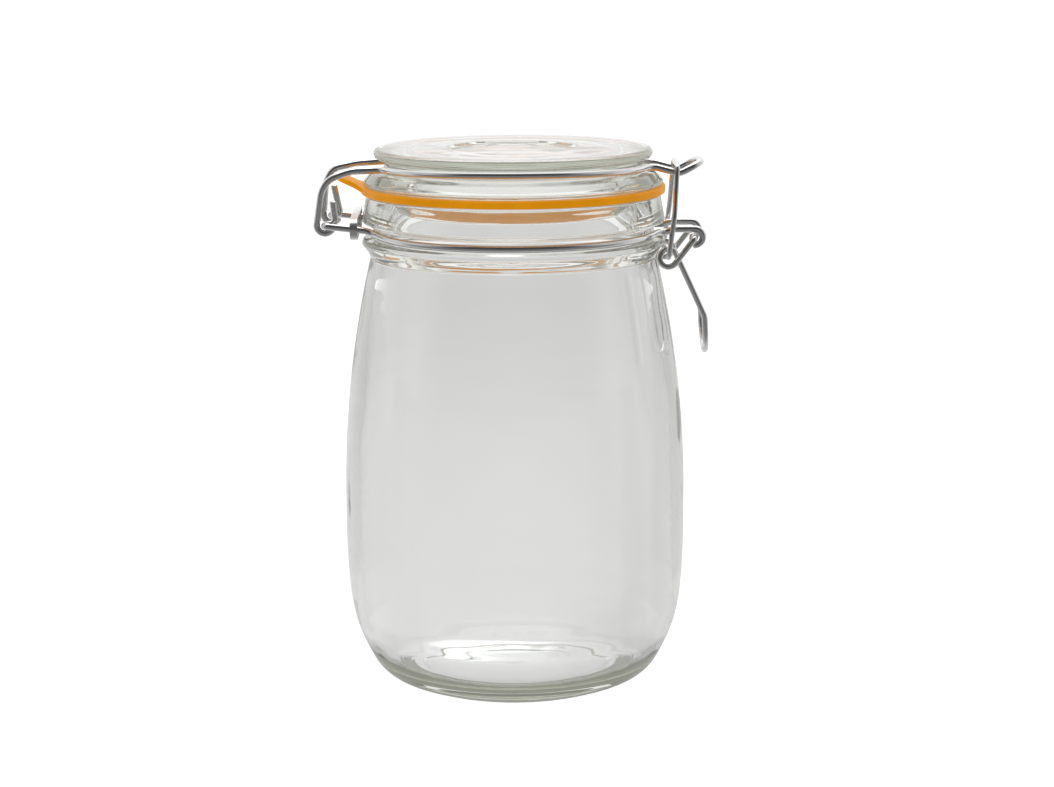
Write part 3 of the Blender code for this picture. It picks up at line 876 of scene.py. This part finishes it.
# Studio floor, in metres. Ranges are: from, to, and the brightness or factor at each
FLOOR_HALF = 12.0
FLOOR_DROP = 0.0003
FLOOR_SEEN = 0.80
FLOOR_DIFFUSE = 0.36
FLOOR_COLOUR = (0.9, 0.9, 0.9, 1.0)
FLOOR_ROUGHNESS = 0.9
FLOOR_THROUGH = (0.1, 0.9, 0.83, 0.70)      # by distance, seen through the glass
FLOOR_FRONT = (-0.08, 0.05, 0.45, 1.0)      # darker in front of the jar
FLOOR_ASIDE = (0.08, 0.45, 1.0, 0.76)       # darker to the sides
FLOOR_ASIDE_SOFT = 0.05
FLOOR_LEFT = -0.6                           # how strongly the left side counts, against the right
FLOOR_MIRRORED = (-0.12, 0.10, 0.22, 0.75)
# Light that the base gathers on the floor: centre, half size along x and y, edge and strength
POOL_CENTRE = (-0.009, 0.029, 0.0)
POOL_HALF = (0.021, 0.012, 1.0)
POOL_EDGE = (0.55, 1.25, 0.85, 0.0)

# Sky brightness in front, at the sides, behind and above, through glass and in reflections
SKY_THROUGH = (0.10, 0.45, 1.10, 1.25)
SKY_MIRRORED = (0.07, 0.60, 1.0, 2.4)
SKY_DIFFUSE = 0.36
SKY_TOP_AXIS = (0.0, 0.4, 0.92)
SKY_TOP_EDGE = (0.80, 0.92)
SKY_FRONT_EDGE = (-0.75, -0.1)
SKY_BACK_EDGE = (0.1, 0.75)
ABOVE_ONE = 1.001       # keeps the root below from reaching zero straight overhead


def by_ray(tree, seen, diffuse, mirrored_light, through):
    """One brightness for each kind of ray that arrives."""
    rays = add(tree, "ShaderNodeLightPath")
    value = mixed(tree, rays.outputs["Is Transmission Ray"], mirrored_light, through)
    value = mixed(tree, rays.outputs["Is Diffuse Ray"], value, diffuse)
    return mixed(tree, rays.outputs["Is Camera Ray"], value, seen)


def floor_light(tree):
    """The floor's brightness for every kind of ray."""
    place = add(tree, "ShaderNodeTexCoord").outputs["Object"]
    parts = feed(tree, add(tree, "ShaderNodeSeparateXYZ"), {0: place})
    across, deep = parts.outputs["X"], parts.outputs["Y"]
    far = vector_node(tree, "LENGTH", place).outputs["Value"]
    left = math_node(tree, "MULTIPLY", across, FLOOR_LEFT)
    aside = math_node(tree, "MAXIMUM", across, left)
    aside = math_node(tree, "DIVIDE", aside, math_node(tree, "ADD", far, FLOOR_ASIDE_SOFT))
    through = smooth(tree, far, *FLOOR_THROUGH)
    through = math_node(tree, "MULTIPLY", through, smooth(tree, aside, *FLOOR_ASIDE))
    through = math_node(tree, "MULTIPLY", through, smooth(tree, deep, *FLOOR_FRONT))
    offset = vector_node(tree, "SUBTRACT", place, POOL_CENTRE).outputs["Vector"]
    shape = vector_node(tree, "DIVIDE", offset, POOL_HALF).outputs["Vector"]
    reach = vector_node(tree, "LENGTH", shape).outputs["Value"]
    through = math_node(tree, "ADD", through, smooth(tree, reach, *POOL_EDGE))
    glossy = smooth(tree, deep, *FLOOR_MIRRORED)
    return by_ray(tree, FLOOR_SEEN, FLOOR_DIFFUSE, glossy, through)


def make_floor():
    """A white floor that shines by itself, and takes a faint shadow where the camera sees it."""
    mesh = bpy.data.meshes.new("floor")
    bm = bmesh.new()
    bmesh.ops.create_grid(bm, x_segments=1, y_segments=1, size=FLOOR_HALF)
    bmesh.ops.translate(bm, verts=bm.verts, vec=(0.0, 0.0, -FLOOR_DROP))
    bm.to_mesh(mesh)
    bm.free()
    floor = bpy.data.objects.new("floor", mesh)
    bpy.context.scene.collection.objects.link(floor)
    made, tree, shader = new_material("floor")
    glow = add(tree, "ShaderNodeEmission")
    feed(tree, glow, {"Strength": floor_light(tree), "Color": WHITE})
    feed(tree, shader, {
        "Base Color": FLOOR_COLOUR, "Roughness": FLOOR_ROUGHNESS, "Specular IOR Level": 0.0,
    })
    both = feed(tree, add(tree, "ShaderNodeAddShader"), {0: glow.outputs[0], 1: shader.outputs[0]})
    rays = add(tree, "ShaderNodeLightPath")
    mix = add(tree, "ShaderNodeMixShader")
    feed(tree, mix, {0: rays.outputs["Is Camera Ray"], 1: glow.outputs[0], 2: both.outputs[0]})
    tree.links.new(mix.outputs[0], tree.nodes["Material Output"].inputs["Surface"])
    mesh.materials.append(made)


def sky(tree, direction, front, side, back, top):
    """Brightness by direction: front, sides and back round the horizon, and a bright zone above."""
    parts = feed(tree, add(tree, "ShaderNodeSeparateXYZ"), {0: direction})
    height = parts.outputs["Z"]
    squared = math_node(tree, "MULTIPLY", height, height)
    flat = math_node(tree, "SQRT", math_node(tree, "SUBTRACT", ABOVE_ONE, squared))
    behind = math_node(tree, "DIVIDE", parts.outputs["Y"], flat)
    low = smooth(tree, behind, *SKY_FRONT_EDGE, front, side)
    low = math_node(tree, "ADD", low, smooth(tree, behind, *SKY_BACK_EDGE, 0.0, back - side))
    above = vector_node(tree, "DOT_PRODUCT", direction, Vector(SKY_TOP_AXIS).normalized())
    cover = smooth(tree, above.outputs["Value"], *SKY_TOP_EDGE)
    return mixed(tree, cover, low, top)


def make_world():
    """A studio that is dark in front, grey at the sides and bright behind and above."""
    world = bpy.data.worlds.new("studio")
    world.use_nodes = True
    bpy.context.scene.world = world
    tree = world.node_tree
    background = tree.nodes["Background"]
    direction = add(tree, "ShaderNodeTexCoord").outputs["Generated"]
    through = sky(tree, direction, *SKY_THROUGH)
    glossy = sky(tree, direction, *SKY_MIRRORED)
    light = by_ray(tree, 1.0, SKY_DIFFUSE, glossy, through)
    tree.links.new(light, background.inputs["Strength"])
    background.inputs["Color"].default_value = WHITE
    bpy.context.scene.view_settings.view_transform = "Standard"


def main():
    make_camera()
    glass = glass_material()
    steel = steel_material()
    make_jar(glass)
    make_lid(glass)
    make_gasket(rubber_material())
    make_lid_wire(steel)
    make_neck_wire("near", steel)
    make_neck_wire("far", steel)
    make_lever(steel)
    make_link(steel)
    make_band(band_material())
    make_floor()
    make_world()


main()
